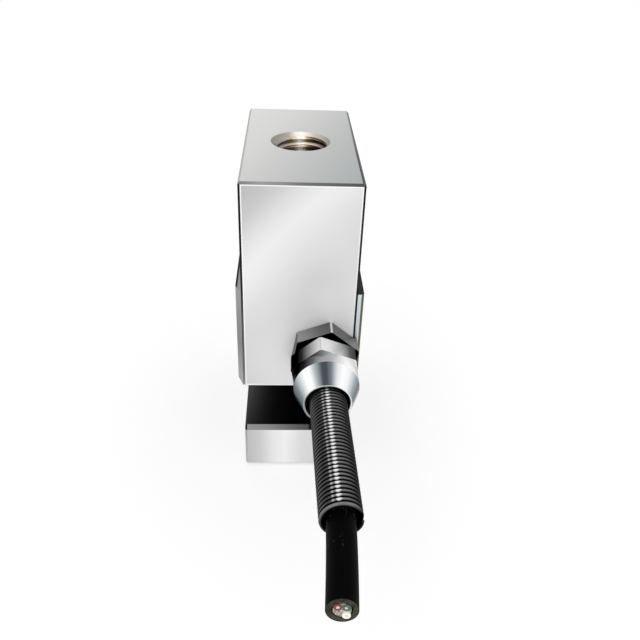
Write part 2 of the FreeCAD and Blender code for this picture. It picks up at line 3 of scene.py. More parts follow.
import bmesh
import bpy
import numpy as np
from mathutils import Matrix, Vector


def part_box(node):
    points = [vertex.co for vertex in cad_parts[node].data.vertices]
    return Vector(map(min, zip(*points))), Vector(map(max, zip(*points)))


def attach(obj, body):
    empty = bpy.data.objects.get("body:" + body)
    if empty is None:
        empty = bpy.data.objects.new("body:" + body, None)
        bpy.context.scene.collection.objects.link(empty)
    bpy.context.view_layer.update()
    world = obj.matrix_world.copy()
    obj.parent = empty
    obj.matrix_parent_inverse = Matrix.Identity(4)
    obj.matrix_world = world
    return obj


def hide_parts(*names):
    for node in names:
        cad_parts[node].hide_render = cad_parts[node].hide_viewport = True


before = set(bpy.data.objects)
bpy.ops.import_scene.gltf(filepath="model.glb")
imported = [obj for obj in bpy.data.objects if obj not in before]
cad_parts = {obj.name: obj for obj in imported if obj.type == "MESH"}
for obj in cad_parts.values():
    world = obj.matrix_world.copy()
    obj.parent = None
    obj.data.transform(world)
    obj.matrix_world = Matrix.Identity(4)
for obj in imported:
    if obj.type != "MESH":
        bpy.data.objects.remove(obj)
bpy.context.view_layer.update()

# ---------------------------------------------------------------- camera and studio
# A small product table: a pale card underneath, an even white room all round and two soft lamps.
# Everything is in metres; the load axis is Z and the cable leaves towards -Y.
MM = 0.001


def linear(hex_colour):
    """An sRGB hex colour as linear RGBA: up to 0.04045 it is divided by 12.92, and above that
    0.055 is added, the sum divided by 1.055 and raised to 2.4.
    """
    parts = [int(hex_colour[i:i + 2], 16) / 255 for i in (1, 3, 5)]
    return [p / 12.92 if p <= 0.04045 else ((p + 0.055) / 1.055) ** 2.4 for p in parts] + [1.0]


def add_node(tree, kind, sockets=None, **settings):
    """Adds one node; settings are its own properties, sockets its inputs' values or links."""
    made = tree.nodes.new(kind)
    for key, value in settings.items():
        setattr(made, key, value)
    for key, value in (sockets or {}).items():
        if isinstance(value, bpy.types.NodeSocket):
            tree.links.new(value, made.inputs[key])
        else:
            made.inputs[key].default_value = value
    return made


scene = bpy.context.scene
scene.view_settings.view_transform = "Standard"

CAMERA_PLACE = (-3.1 * MM, -148.5 * MM, 125.2 * MM)
CAMERA_TURN = (56.744, -2.124, -2.197)
camera_data = bpy.data.cameras.new("product_camera")
camera_data.lens = 37.46
camera_data.sensor_width = 36.0
camera_data.clip_start = 0.01
camera = bpy.data.objects.new("product_camera", camera_data)
camera.location = CAMERA_PLACE
camera.rotation_euler = [math.radians(angle) for angle in CAMERA_TURN]
scene.collection.objects.link(camera)
scene.camera = camera

WHITE = linear("#ffffff")
ROOM_LEVEL = 0.8
world = bpy.data.worlds.new("white_room")
world.use_nodes = True
room = world.node_tree
room.nodes.clear()
rays = add_node(room, "ShaderNodeLightPath")
eye = add_node(room, "ShaderNodeMath", {0: rays.outputs["Is Camera Ray"],
                                        1: rays.outputs["Is Glossy Ray"]}, operation="MAXIMUM")
shown = add_node(room, "ShaderNodeMath", {0: eye.outputs[0],
                                          1: rays.outputs["Is Transmission Ray"]},
                 operation="MAXIMUM")
fill = add_node(room, "ShaderNodeBackground", {"Color": WHITE, "Strength": ROOM_LEVEL})
plain = add_node(room, "ShaderNodeBackground", {"Color": WHITE, "Strength": 1.0})
mixed = add_node(room, "ShaderNodeMixShader", {0: shown.outputs[0], 1: fill.outputs[0],
                                               2: plain.outputs[0]})
add_node(room, "ShaderNodeOutputWorld", {"Surface": mixed.outputs[0]})
scene.world = world

block_low, block_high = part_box("s_body")
block_middle = (block_low + block_high) / 2


def soft_lamp(name, place, width, watts):
    """A square soft box at a place, turned to face the cell's middle."""
    data = bpy.data.lights.new(name, "AREA")
    data.size = width
    data.energy = watts
    lamp = bpy.data.objects.new(name, data)
    lamp.location = place
    lamp.rotation_euler = (block_middle - lamp.location).to_track_quat("-Z", "Y").to_euler()
    scene.collection.objects.link(lamp)


soft_lamp("key_lamp", place=(-0.30, -0.42, 0.62), width=0.30, watts=0.4)
soft_lamp("fill_lamp", place=(0.38, -0.46, 0.40), width=0.40, watts=0.25)

# the pale card glows a little: it shows plain white but for the cell's soft shadow
CARD_HALF = 3.0
CARD_GLOW = 0.60
CARD_GLOW_SEEN = 0.53
card_mesh = bpy.data.meshes.new("white_card")
card_mesh.from_pydata([(-CARD_HALF, -CARD_HALF, 0), (CARD_HALF, -CARD_HALF, 0),
                       (CARD_HALF, CARD_HALF, 0), (-CARD_HALF, CARD_HALF, 0)], [], [(0, 1, 2, 3)])
card = bpy.data.objects.new("white_card", card_mesh)
scene.collection.objects.link(card)
card_paper = bpy.data.materials.new("white_card_paper")
card_paper.use_nodes = True
paper = card_paper.node_tree
paper.nodes.clear()
lit = add_node(paper, "ShaderNodeBsdfDiffuse", {"Color": linear("#c8c8c8")})
seen = add_node(paper, "ShaderNodeLightPath").outputs["Is Camera Ray"]
lift = add_node(paper, "ShaderNodeMapRange", {0: seen, 3: CARD_GLOW, 4: CARD_GLOW_SEEN})
glow = add_node(paper, "ShaderNodeEmission", {"Color": WHITE, "Strength": lift.outputs[0]})
both = add_node(paper, "ShaderNodeAddShader", {0: lit.outputs[0], 1: glow.outputs[0]})
add_node(paper, "ShaderNodeOutputMaterial", {"Surface": both.outputs[0]})
card_mesh.materials.append(card_paper)


# ---------------------------------------------------------------- cable
# Four insulated conductors in an extruded black PVC jacket, cut off by hand at a slant.
# The gland grips it; it is straight in the spring and droops a little past the spring's end.
JACKET_RADIUS = 2.6 * MM
JACKET_BORE = 1.7 * MM
CUT_SLANT = math.tan(math.radians(11))
CUT_PROUD = 0.4 * MM
CUT_REACH = 4 * MM
CABLE_COLUMNS = 64
ROUTE_STEPS = 24
ROUTE = [
    (0.0057, -0.0195, 0.0360),
    (0.0065, -0.0628, 0.0359),
    (0.00675, -0.0758, 0.0359),
    (0.0059, -0.0888, 0.0343),
]


def smooth_line(points):
    """The NURBS curve with these control points, as an array of places along it."""
    curve = bpy.data.curves.new("cable_route", "CURVE")
    curve.dimensions = "3D"
    spline = curve.splines.new("NURBS")
    spline.points.add(len(points) - 1)
    for point, place in zip(spline.points, points):
        point.co = (*place, 1.0)
    spline.order_u = 3
    spline.use_endpoint_u = True
    spline.resolution_u = ROUTE_STEPS
    holder = bpy.data.objects.new("cable_route", curve)
    scene.collection.objects.link(holder)
    mesh = bpy.data.meshes.new_from_object(holder)
    places = np.empty(len(mesh.vertices) * 3)
    mesh.vertices.foreach_get("co", places)
    bpy.data.objects.remove(holder)
    return places.reshape(-1, 3)


def grid_faces(rows, columns):
    """Quads between neighbouring rows of points; the columns close round. Row-major numbering."""
    row, column = np.meshgrid(np.arange(rows - 1), np.arange(columns), indexing="ij")
    after = (column + 1) % columns
    quads = np.stack([row * columns + column, row * columns + after,
                      (row + 1) * columns + after, (row + 1) * columns + column], axis=-1)
    return quads.reshape(-1, 4).tolist()


def fasten(name, mesh, material):
    """Makes a mesh a piece of the cell, in its material, that rides on the body."""
    mesh.materials.append(material)
    piece = bpy.data.objects.new(name, mesh)
    scene.collection.objects.link(piece)
    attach(piece, "root")
    return piece


def new_piece(name, rings, material, sharp_degrees=35.0, attributes=None):
    """A closed mesh piece from rings of points, rows by columns by 3, with a pole at each end.

    Edges sharper than the angle stay sharp. Attributes are one number for each point of the rings.
    """
    rows, columns = rings.shape[:2]
    points = np.vstack([rings.reshape(-1, 3), rings[0].mean(axis=0), rings[-1].mean(axis=0)])
    column = np.arange(columns)
    after, base, pole = (column + 1) % columns, (rows - 1) * columns, rows * columns + 0 * column
    first_cap = np.stack([pole, after, column], axis=-1)
    last_cap = np.stack([pole + 1, base + column, base + after], axis=-1)
    caps = np.stack([first_cap, last_cap], axis=1).reshape(-1, 3)
    mesh = bpy.data.meshes.new(name)
    mesh.from_pydata(points.tolist(), [], grid_faces(rows, columns) + caps.tolist())
    mesh.shade_smooth()
    mesh.set_sharp_from_angle(angle=math.radians(sharp_degrees))
    for key, values in (attributes or {}).items():
        ends = [values[0].mean(), values[-1].mean()]
        layer = mesh.attributes.new(key, "FLOAT", "POINT")
        layer.data.foreach_set("value", np.concatenate([values.ravel(), ends]).astype(np.float32))
    form = bmesh.new()
    form.from_mesh(mesh)
    bmesh.ops.recalc_face_normals(form, faces=form.faces)
    form.to_mesh(mesh)
    form.free()
    return fasten(name, mesh, material)


def cut_rod(line, radii, stations, columns):
    """Rings round a line: centre + radius * (across cos a + up sin a), one ring for each radius.

    A station is the index of the ring's place on the line. Over the last 4 mm the rings lean
    more and more into the knife's slanted plane, which all the parts of the cable share.
    """
    along = np.gradient(line, axis=0)
    along /= np.linalg.norm(along, axis=1, keepdims=True)
    across = np.cross([0.0, 0.0, 1.0], along)
    across /= np.linalg.norm(across, axis=1, keepdims=True)
    up = np.cross(along, across)
    angle = np.linspace(0, 2 * math.pi, columns, endpoint=False)[None, :, None]
    radius = np.asarray(radii)[:, None, None]
    centre, along, across, up = (part[stations][:, None, :] for part in (line, along, across, up))
    rings = centre + radius * (np.cos(angle) * across + np.sin(angle) * up)
    left_over = np.linalg.norm(line[stations] - line[-1], axis=1)[:, None, None]
    lean = np.clip(1 - left_over / CUT_REACH, 0, 1)
    above_middle = (rings - centreline[-1])[:, :, 2:3]
    return rings + along * lean * (CUT_PROUD - CUT_SLANT * above_middle)


def new_material(name):
    """A material of that name, its node tree and its surface shader."""
    material = bpy.data.materials.new(name)
    material.use_nodes = True
    return material, material.node_tree, material.node_tree.nodes["Principled BSDF"]


def set_stops(ramp, *stops):
    """Sets a colour ramp's stops from (position, hex colour) pairs, in rising order."""
    elements = ramp.color_ramp.elements
    while len(elements) < len(stops):
        elements.new(0.5)
    for element, (position, colour) in zip(elements, stops):
        element.position = position
        element.color = linear(colour)


def grain_of(tree, size_mm):
    """A soft noise about 0.5 whose blots are as wide as the size."""
    place = add_node(tree, "ShaderNodeTexCoord").outputs["Object"]
    return add_node(tree, "ShaderNodeTexNoise",
                    {"Vector": place, "Scale": 1 / (size_mm * MM)}).outputs[0]


def extruded_pvc():
    """Extruded soft PVC: matt and almost black, with pale dust and scuffs left by handling."""
    material, tree, shader = new_material("extruded_pvc")
    place = add_node(tree, "ShaderNodeTexCoord").outputs["Object"]
    dust = grain_of(tree, 0.5)
    specks = add_node(tree, "ShaderNodeMath", {0: dust, 1: grain_of(tree, 4)}, operation="MULTIPLY")
    along = add_node(tree, "ShaderNodeSeparateXYZ", {0: place}).outputs["Y"]
    # more dust near the spring's end, at -79 mm, than towards the cut
    handled = add_node(tree, "ShaderNodeMapRange", {0: along, 1: -84 * MM, 2: -79 * MM, 3: 0.8,
                                                    4: 1.12})
    scuffs_and_lit_last_turn = add_node(tree, "ShaderNodeMath", {0: specks.outputs[0], 1: handled.outputs[0]},
                    operation="MULTIPLY")
    ramp = add_node(tree, "ShaderNodeValToRGB", {"Fac": scuffs_and_lit_last_turn.outputs[0]})
    set_stops(ramp, (0.0, "#010101"), (0.36, "#020203"), (0.44, "#3c3d3b"))
    end = add_node(tree, "ShaderNodeAttribute", attribute_name="cut_face")
    face = add_node(tree, "ShaderNodeValToRGB", {"Fac": grain_of(tree, 0.8)})
    set_stops(face, (0.3, "#2c2c26"), (0.7, "#4c4b42"))
    colour = add_node(tree, "ShaderNodeMix", {0: end.outputs["Fac"], 6: ramp.outputs[0],
                                              7: face.outputs[0]}, data_type="RGBA")
    tree.links.new(colour.outputs[2], shader.inputs["Base Color"])
    bump = add_node(tree, "ShaderNodeBump", {"Height": dust, "Strength": 0.3,
                                             "Distance": 0.08 * MM})
    tree.links.new(bump.outputs[0], shader.inputs["Normal"])
    shader.inputs["Roughness"].default_value = 0.55
    shader.inputs["Specular IOR Level"].default_value = 0.03
    return material


centreline = smooth_line(ROUTE)
count = len(centreline)
# outer wall to the cut, a slightly rounded rim, the cut face, and the bore back to the cores
RIM = 0.12 * MM
BORE_DEPTH = 6
stations = np.concatenate([np.arange(count), [count - 1] * 3, count - 1 - np.arange(1, BORE_DEPTH)])
radii = np.concatenate([np.full(count, JACKET_RADIUS), [JACKET_RADIUS - RIM, JACKET_BORE + RIM],
                        np.full(BORE_DEPTH, JACKET_BORE)])
jacket_rings = cut_rod(centreline, radii, stations, CABLE_COLUMNS)
on_face = np.zeros(jacket_rings.shape[:2])
on_face[count:] = 1.0
cable = new_piece("cable_jacket_outer", jacket_rings, extruded_pvc(),
                  attributes={"cut_face": on_face})
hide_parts("cable_jacket")

# the conductors: soft PVC over stranded copper, side by side; each reaches further into the
# block than the jacket, and ends a little proud of the knife's cut or back from it
CORE_RADIUS = 0.67 * MM
CORE_COLUMNS = 24
STRAND_SHARE = 0.25
SMEAR = 0.42
CORE_STEP = 0.97 * MM / math.sqrt(2)
CORE_AHEAD = {"red": 21.5 * MM, "green": 23.7 * MM, "white": 23.7 * MM, "black": 21.5 * MM}
CORE_COLOURS = {"red": "#7d0c26", "green": "#2f5c49", "white": "#fbf7ee", "black": "#3a342c"}
CORE_PLACES = {"red": (-1, 1), "green": (1, 1), "white": (1, -1), "black": (-1, -1)}
CORE_PROUD = {"red": 0.1 * MM, "green": 0.2 * MM, "white": 0.3 * MM, "black": -0.5 * MM}


def core_pvc(colour, hex_colour):
    """Insulation with a satin gloss round a bright copper strand; the cut smears both a little."""
    material, tree, shader = new_material(f"core_pvc_{colour}")
    strand = add_node(tree, "ShaderNodeAttribute", attribute_name="strand")
    uneven = add_node(tree, "ShaderNodeMath", {0: grain_of(tree, 0.5), 1: strand.outputs["Fac"]},
                      operation="MULTIPLY")
    inside = add_node(tree, "ShaderNodeMath", {0: uneven.outputs[0], 1: SMEAR},
                      operation="GREATER_THAN")
    tint = add_node(tree, "ShaderNodeMix", {0: inside.outputs[0], 6: linear(hex_colour),
                                            7: linear("#d9d0be")}, data_type="RGBA")
    tree.links.new(tint.outputs[2], shader.inputs["Base Color"])
    shader.inputs["Roughness"].default_value = 0.4
    return material


def braided_filler():
    """Tinned drain strands and cotton between the cores, crushed by the knife: speckled grey."""
    material, tree, shader = new_material("braided_filler")
    ramp = add_node(tree, "ShaderNodeValToRGB", {"Fac": grain_of(tree, 0.35)})
    set_stops(ramp, (0.3, "#5a5850"), (0.5, "#8f8c80"), (0.7, "#d2cfc3"))
    tree.links.new(ramp.outputs[0], shader.inputs["Base Color"])
    shader.inputs["Roughness"].default_value = 0.5
    return material


for colour, (side, rise) in CORE_PLACES.items():
    offset = np.array([side * CORE_STEP, 0.0, rise * CORE_STEP])
    line = centreline + offset
    onward = (line[1] - line[0]) / np.linalg.norm(line[1] - line[0])
    line = np.vstack([line[0] - onward * CORE_AHEAD[colour], line])
    line[-1] += (line[-1] - line[-2]) / np.linalg.norm(line[-1] - line[-2]) * CORE_PROUD[colour]
    total = len(line)
    stations = np.concatenate([np.arange(total), [total - 1] * 2])
    radii = np.concatenate([np.full(total, CORE_RADIUS),
                            [CORE_RADIUS * 0.9, CORE_RADIUS * STRAND_SHARE]])
    rings = cut_rod(line, radii, stations, CORE_COLUMNS)
    strand = np.zeros(rings.shape[:2])
    strand[-1] = 1.0
    core = new_piece(f"core_{colour}", rings, core_pvc(colour, CORE_COLOURS[colour]),
                     attributes={"strand": strand})
    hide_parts(f"conductor_{colour}")

FILLER_RADIUS = 1.42 * MM
filler_radii = np.append(np.full(count, FILLER_RADIUS), FILLER_RADIUS * 0.85)
filler_stations = np.append(np.arange(count), count - 1)
filler = new_piece("drain_filler", cut_rod(centreline, filler_radii, filler_stations, 32),
                   braided_filler())


# ---------------------------------------------------------------- the S block
# Alloy steel, sawn and ground to 1 x 2 x 3 inches, two slots milled from opposite ends, nickel
# plated and polished. Each arm has an M12 thread on the load axis with a countersunk mouth.
THREAD_MAJOR = 6.0
THREAD_MINOR = 5.15
THREAD_PITCH = 1.75
THREAD_COLUMNS = 160
ROWS_PER_TURN = 14
V_STEEPNESS, V_START = 1.3, 0.15
SINK_RADIUS = 6.75
DRILLED_RADIUS = 6.05
ARM = 12.7
HALF_X, HALF_Y, HEIGHT = block_high.x / MM, block_high.y / MM, block_high.z / MM
EDGE = 0.5
BRIGHT_LINE = 0.22
PALE_PATCH = (4.0, 55.0)
ANY = 99.0
gland_low, gland_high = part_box("gland_body")
AXIS_X = (gland_low.x + gland_high.x) / 2 / MM
AXIS_Z = (gland_low.z + gland_high.z) / 2 / MM


def band(tree, value, low, high):
    """1 where a value lies between two limits, else 0; ANY is a limit that is never reached."""
    above = add_node(tree, "ShaderNodeMath", {0: value, 1: low}, operation="GREATER_THAN")
    below = add_node(tree, "ShaderNodeMath", {0: value, 1: high}, operation="LESS_THAN")
    return add_node(tree, "ShaderNodeMath", {0: above.outputs[0], 1: below.outputs[0]},
                    operation="MULTIPLY").outputs[0]


def both_true(tree, first, second):
    """1 where two masks are both 1."""
    return add_node(tree, "ShaderNodeMath", {0: first, 1: second}, operation="MULTIPLY").outputs[0]


def tone(tree, value, low, high, *stops):
    """A colour that runs through stops as a value in millimetres goes from low to high."""
    share = add_node(tree, "ShaderNodeMapRange", {0: value, 1: low, 2: high})
    ramp = add_node(tree, "ShaderNodeValToRGB", {"Fac": share.outputs[0]})
    set_stops(ramp, *stops)
    return ramp.outputs[0]


def over(tree, mask, under, top):
    """Where the mask is 1 the second colour covers the first."""
    return add_node(tree, "ShaderNodeMix", {0: mask, 6: under, 7: top}, data_type="RGBA").outputs[2]


def size_of(tree, value):
    """A value without its sign."""
    return add_node(tree, "ShaderNodeMath", {0: value}, operation="ABSOLUTE").outputs[0]


def distance(tree, across, up, centre=(0, 0)):
    """How far a place lies from a centre in a plane: the root of its two squares' sum."""
    place = add_node(tree, "ShaderNodeCombineXYZ", {0: across, 1: up})
    return add_node(tree, "ShaderNodeVectorMath", {0: place.outputs[0], 1: (*centre, 0)},
                    operation="DISTANCE").outputs["Value"]


def place_and_normal(tree, centre=(0, 0, 0)):
    """X, Y and Z of the place in millimetres from a centre, then X, Y and Z of the normal."""
    place = add_node(tree, "ShaderNodeTexCoord").outputs["Object"]
    moved = add_node(tree, "ShaderNodeVectorMath", {0: place, 1: [-c * MM for c in centre]},
                     operation="ADD")
    scaled = add_node(tree, "ShaderNodeVectorMath", {0: moved.outputs[0], 1: (1 / MM,) * 3},
                      operation="MULTIPLY")
    parts = add_node(tree, "ShaderNodeSeparateXYZ", {0: scaled.outputs[0]})
    facing = add_node(tree, "ShaderNodeNewGeometry").outputs["Normal"]
    normal = add_node(tree, "ShaderNodeSeparateXYZ", {0: facing})
    return (*parts.outputs, *normal.outputs)


def metal_shader(tree, shader, colour, roughness, grain_mm, grain_depth_mm,
                 stretch=(1, 1, 1), rim=1.0):
    """Sets a metal's colour, gloss and a fine grain that is stretched along the cutter's way.

    A rim below 1 dims what the metal mirrors where it turns away from the eye.
    """
    place = add_node(tree, "ShaderNodeTexCoord").outputs["Object"]
    drawn = add_node(tree, "ShaderNodeMapping", {"Vector": place, "Scale": stretch})
    grain = add_node(tree, "ShaderNodeTexNoise", {"Vector": drawn.outputs[0],
                                                  "Scale": 1 / (grain_mm * MM), "Detail": 3.0})
    bump = add_node(tree, "ShaderNodeBump", {"Height": grain.outputs[0], "Strength": 0.35,
                                             "Distance": grain_depth_mm * MM})
    tree.links.new(bump.outputs[0], shader.inputs["Normal"])
    spread = add_node(tree, "ShaderNodeMapRange", {0: grain.outputs[0], 3: roughness * 0.85,
                                                   4: roughness * 1.15})
    tree.links.new(spread.outputs[0], shader.inputs["Roughness"])
    tree.links.new(colour, shader.inputs["Base Color"])
    shader.inputs["Metallic"].default_value = 1.0
    shader.inputs["Specular Tint"].default_value = (rim, rim, rim, 1.0)


def weighted(tree, first, share, second, other_share):
    """A sum of two values, each times its share: a distance along a slanted line."""
    one = add_node(tree, "ShaderNodeMath", {0: first, 1: share}, operation="MULTIPLY")
    return add_node(tree, "ShaderNodeMath", {0: second, 1: other_share, 2: one.outputs[0]},
                    operation="MULTIPLY_ADD").outputs[0]


def bright_cone(tree, x):
    """The countersink's tones from left to right: painted shade, olive, at the sides and a painted
    highlight, cream, at the back.
    """
    return tone(tree, x, -SINK_RADIUS, SINK_RADIUS, (0.0, "#8d8d80"), (0.12, "#9a9a8c"),
                (0.3, "#b5aaa0"), (0.42, "#f4efe2"), (0.52, "#fbf8ee"), (0.62, "#e6e2d0"),
                (0.76, "#c9bcae"), (0.88, "#b4b4a4"), (1.0, "#8f9086"))


def polished_nickel_steel():
    """Nickel over ground steel, its light painted into the colour: a painted reflection, a soft
    bright band, crosses each face on the slant.

        Broken edges are painted as dark reflections with a painted highlight inside them, and the
        slots are painted shade.
    """
    material, tree, shader = new_material("polished_nickel_steel")
    x, y, z, nx, ny, nz = place_and_normal(tree)
    # painted reflection: the soft bright band's tones, run on the slant over the sides and the
    # front
    reflection_band_stops = ((0.0, "#cfcfcf"), (0.1, "#d2d2d2"), (0.3, "#dedede"), (0.43, "#e7e7e7"),
                  (0.54, "#ebebeb"), (0.63, "#e4e4e4"), (0.73, "#d8d8d8"), (0.83, "#c9c9c9"),
                  (1.0, "#bababa"))
    side_slant = weighted(tree, y, -0.6, z, 1.0)
    colour = tone(tree, side_slant, 30, 90, *reflection_band_stops)
    front_slant = weighted(tree, x, -1.1, z, 1.0)
    front = both_true(tree, band(tree, ny, -ANY, -0.9), band(tree, y, -ANY, -HALF_Y + 0.1))
    colour = over(tree, front, colour, tone(tree, front_slant, 48, 88, *reflection_band_stops))
    # painted reflection: the lower arm's front face is lighter a little left of the middle
    low_arm = both_true(tree, front, band(tree, z, -ANY, ARM))
    colour = over(tree, low_arm, colour, tone(
        tree, x, -HALF_X, HALF_X, (0.0, "#bcbcbc"), (0.15, "#cdcdcd"), (0.27, "#e5e5e5"),
        (0.39, "#ededed"), (0.56, "#dadada"), (1.0, "#cccccc")))
    # painted highlight: the bright line that runs just inside the front face's broken edges, along
    # its top, its foot and its sides
    line = EDGE + BRIGHT_LINE
    border = band(tree, z, HEIGHT - line, HEIGHT)
    colour = over(tree, both_true(tree, front, border), colour, linear("#fbfbfb"))
    foot = band(tree, z, 2 * ARM, 2 * ARM + EDGE + 0.35)
    colour = over(tree, both_true(tree, front, foot), colour, linear("#f4f4f4"))
    beside = both_true(tree, band(tree, size_of(tree, x), HALF_X - line, ANY),
                       band(tree, z, 2 * ARM, ANY))
    colour = over(tree, both_true(tree, front, beside), colour, linear("#fbfaf8"))
    # painted reflection: the top face is lighter at the left front and darker towards the right
    # back
    top = both_true(tree, band(tree, nz, 0.9, ANY), band(tree, z, HEIGHT - 0.1, ANY))
    top_slant = weighted(tree, y, -0.32, x, 1.0)
    colour = over(tree, top, colour, tone(
        tree, top_slant, -20, 20, (0.0, "#dddddb"), (0.3, "#d6d6d4"), (0.5, "#cacbca"),
        (0.7, "#bec0bf"), (1.0, "#aaaeb0")))
    # slots: painted shade, a little lighter towards the left and the back
    in_low = both_true(tree, band(tree, z, ARM - 0.1, 2 * ARM + 0.1),
                       band(tree, y, -HALF_Y + 0.9, HALF_Y - ARM + 0.1))
    in_high = both_true(tree, band(tree, z, HEIGHT - 2 * ARM - 0.1, HEIGHT - ARM + 0.1),
                        band(tree, y, ARM - HALF_Y - 0.1, HALF_Y - 0.9))
    slot = add_node(tree, "ShaderNodeMath", {0: in_low, 1: in_high}, operation="MAXIMUM")
    flank, depth, rise = (size_of(tree, part) for part in (nx, ny, nz))
    slot = both_true(tree, slot.outputs[0], band(tree, flank, -ANY, 0.5))
    colour = over(tree, slot, colour, tone(
        tree, x, -HALF_X, HALF_X, (0.0, "#5c5c5c"), (0.12, "#4e4e4e"), (0.26, "#323232"),
        (0.45, "#0f0f0f"), (0.55, "#020202"), (1.0, "#010101")))
    # painted shade: near the slots' open front it is darker still
    mouth = add_node(tree, "ShaderNodeMapRange", {0: y, 1: -HALF_Y, 2: -12.0, 3: 0.65, 4: 0.0})
    colour = over(tree, both_true(tree, slot, mouth.outputs[0]), colour, linear("#010101"))
    # chamfers: two of the normal's parts are large; their tones are painted reflections, mostly
    # dark lines
    upright = both_true(tree, band(tree, flank, 0.3, 0.9), band(tree, depth, 0.3, 0.9))
    level = both_true(tree, band(tree, flank, 0.3, 0.9), band(tree, rise, 0.3, 0.9))
    crossing = both_true(tree, band(tree, depth, 0.5, 0.9), band(tree, rise, 0.5, 0.9))
    colour = over(tree, upright, colour, linear("#0b0a08"))
    left_foot = both_true(tree, both_true(tree, upright, band(tree, x, -ANY, 0)),
                          band(tree, z, -ANY, 4 * ARM))
    colour = over(tree, left_foot, colour, tone(
        tree, z, 0, 4 * ARM, (0.0, "#b4b4b2"), (0.245, "#a0a09e"), (0.255, "#0a0a0a"),
        (0.495, "#0a0a0a"), (0.505, "#8c8c8c"), (0.6, "#6f6f6f"), (0.8, "#5e5e5e"),
        (1.0, "#2b2b2b")))
    colour = over(tree, level, colour, tone(tree, x, -1, 1, (0.0, "#a9aaa8"), (1.0, "#0a0908")))
    lower_level = both_true(tree, level, band(tree, z, -ANY, HEIGHT - 1))
    colour = over(tree, lower_level, colour, linear("#060606"))
    # painted reflection: a strip along the top's right edge, dark at the front and light at the
    # back
    side_line = both_true(tree, top, band(tree, x, HALF_X - line, ANY))
    colour = over(tree, side_line, colour, tone(
        tree, y, -HALF_Y, HALF_Y, (0.0, "#141414"), (0.35, "#3c3c3c"), (0.6, "#8c8c8c"),
        (1.0, "#c4c6c5")))
    colour = over(tree, crossing, colour, tone(
        tree, x, -HALF_X, HALF_X, (0.0, "#7c7c7c"), (0.17, "#979797"), (0.35, "#8c8c8c"),
        (0.5, "#747474"), (0.75, "#646464"), (1.0, "#525252")))
    # painted shadow: the lower arm's top chamfer turns dark right of the middle, under the gland
    # and spring
    lip = both_true(tree, crossing, band(tree, z, -ANY, 2 * ARM))
    colour = over(tree, lip, colour, tone(
        tree, x, -HALF_X, HALF_X, (0.0, "#8f8f8f"), (0.2, "#8c8c8c"), (0.5, "#696969"),
        (0.61, "#5c5c5c"), (0.63, "#101010"), (1.0, "#060606")))
    # painted light: two lighter patches on the front face, above the gland and round its seat,
    # where the face would mirror the dark gland
    from_patch = distance(tree, x, z, PALE_PATCH)
    patch = add_node(tree, "ShaderNodeMapRange", {0: from_patch, 1: 3.0, 2: 21.0, 3: 0.5, 4: 0.0},
                     interpolation_type="SMOOTHSTEP")
    painted_lift_patch = both_true(tree, front, patch.outputs[0])
    colour = over(tree, painted_lift_patch, colour, linear("#f4f4f4"))
    from_gland = distance(tree, x, z, (AXIS_X, AXIS_Z))
    near_gland = add_node(tree, "ShaderNodeMapRange", {0: from_gland, 1: 10.0, 2: 20.0, 3: 1.0,
                                                       4: 0.0})
    painted_lift_round_seat = both_true(tree, both_true(tree, front, near_gland.outputs[0]),
                       band(tree, flank, -ANY, 0.2))
    colour = over(tree, painted_lift_round_seat, colour, linear("#eaeaea"))
    # the countersinks' cones: cut steel with a painted highlight at the back and painted shade at
    # the sides
    sink = both_true(tree, band(tree, distance(tree, x, y), -ANY, SINK_RADIUS + 0.03),
                     band(tree, rise, 0.3, 0.9))
    colour = over(tree, sink, colour, bright_cone(tree, x))
    metal_shader(tree, shader, colour, 0.45, 0.6, 0.004, (1, 1, 6))
    # round its seat the face mirrors less, so that the dark gland hardly shows in it
    frosted = add_node(tree, "ShaderNodeMapRange", {0: painted_lift_round_seat, 3: 1.0, 4: 0.2})
    tree.links.new(frosted.outputs[0], shader.inputs["Metallic"])
    return material


def freshly_cut_thread():
    """Bare cut steel under thin oil, warm cream: a painted highlight at the back, painted shade
    towards the right, darkest in the roots there.
    """
    material, tree, shader = new_material("freshly_cut_thread")
    x, y, *_ = place_and_normal(tree)
    crest = tone(tree, x, -THREAD_MAJOR, THREAD_MAJOR, (0.0, "#8a897c"), (0.15, "#908f8a"),
                 (0.3, "#b8a795"), (0.4, "#d5ccb4"), (0.49, "#ffffff"), (0.56, "#ffffff"),
                 (0.66, "#e9dec4"), (0.78, "#cdbfae"), (0.9, "#8f7a70"), (1.0, "#3c332c"))
    root = tone(tree, x, -THREAD_MAJOR, THREAD_MAJOR, (0.0, "#8e8d82"), (0.15, "#a3a4a4"),
                (0.3, "#c4b19e"), (0.4, "#e0d6bc"), (0.47, "#ffffff"), (0.57, "#fff3dc"),
                (0.64, "#a08a70"), (0.74, "#4c3b33"), (0.9, "#2c2222"), (1.0, "#0c0a09"))
    radius = distance(tree, x, y)
    # painted shade: the roots are darker than the crests towards the right
    deep = add_node(tree, "ShaderNodeMapRange", {0: radius, 1: THREAD_MINOR + 0.15,
                                                 2: THREAD_MAJOR - 0.1})
    colour = over(tree, deep.outputs[0], crest, root)
    mouth = band(tree, radius, DRILLED_RADIUS - 0.06, ANY)
    colour = over(tree, mouth, colour, bright_cone(tree, x))
    metal_shader(tree, shader, colour, 0.25, 0.4, 0.006)
    return material


